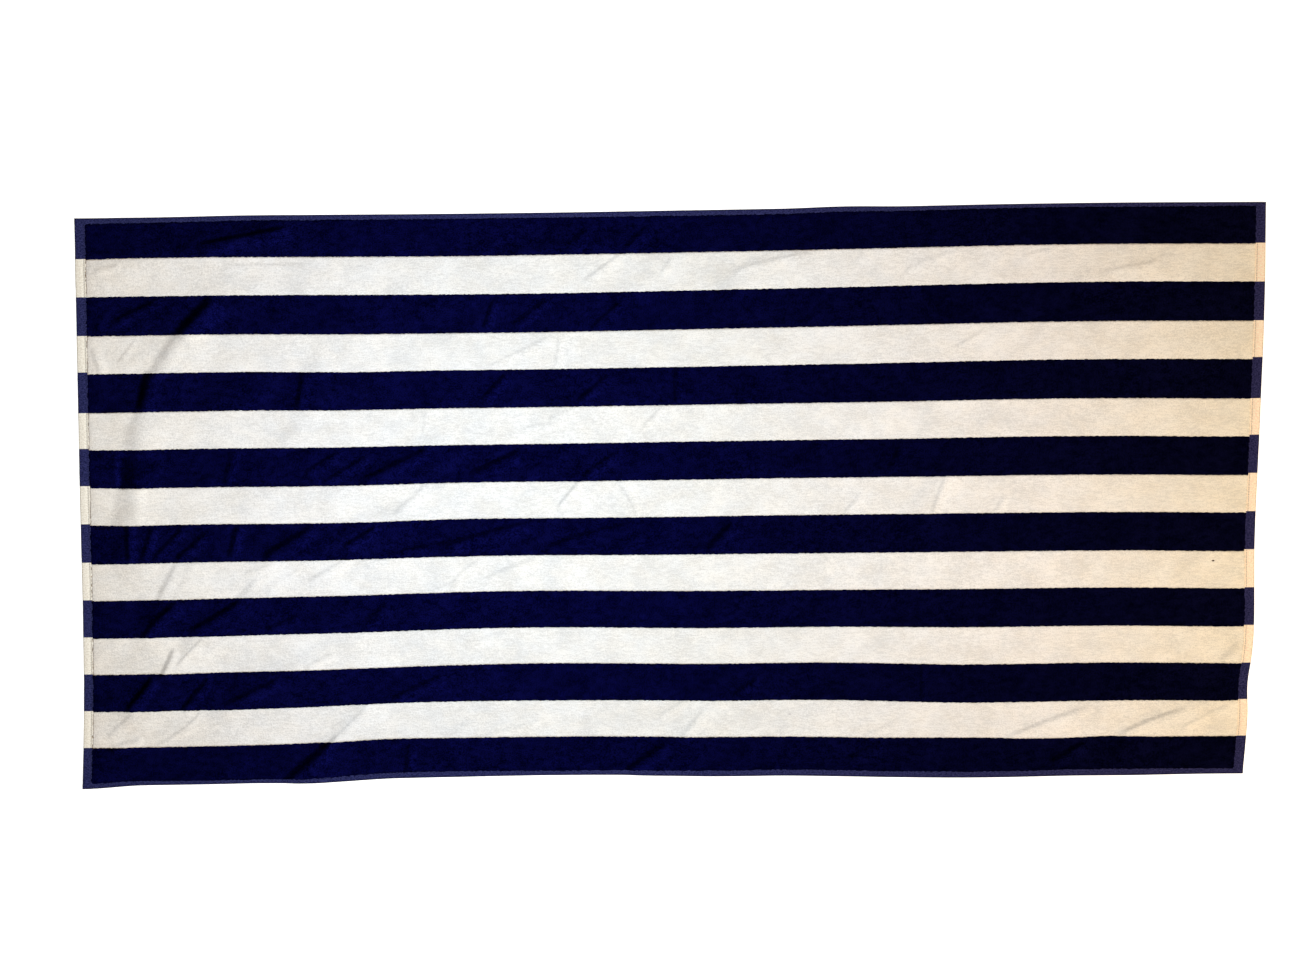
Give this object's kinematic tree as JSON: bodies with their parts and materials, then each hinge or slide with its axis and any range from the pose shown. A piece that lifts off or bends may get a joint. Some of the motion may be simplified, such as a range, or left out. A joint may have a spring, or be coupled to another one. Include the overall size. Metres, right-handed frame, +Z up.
{
  "type": "beach towel",
  "caption": "Rectangular terry beach towel with lengthwise stripes and hemmed edges, laid out flat with shallow creases.",
  "frame": {"origin": "middle of the towel's footprint, on the surface that it lies on", "axes": "+X along the towel's stripes, +Y across them, +Z up out of the face side"},
  "size_m": [1.587, 0.7672, 0.0082],
  "materials": {
    "terry_cotton": "soft sheared cotton pile in navy and off-white stripes, matt",
    "hem_thread": "matt cotton sewing thread, slate blue"
  },
  "bodies": {
    "root": {"towel": "terry_cotton"}
  },
  "joints": []
}
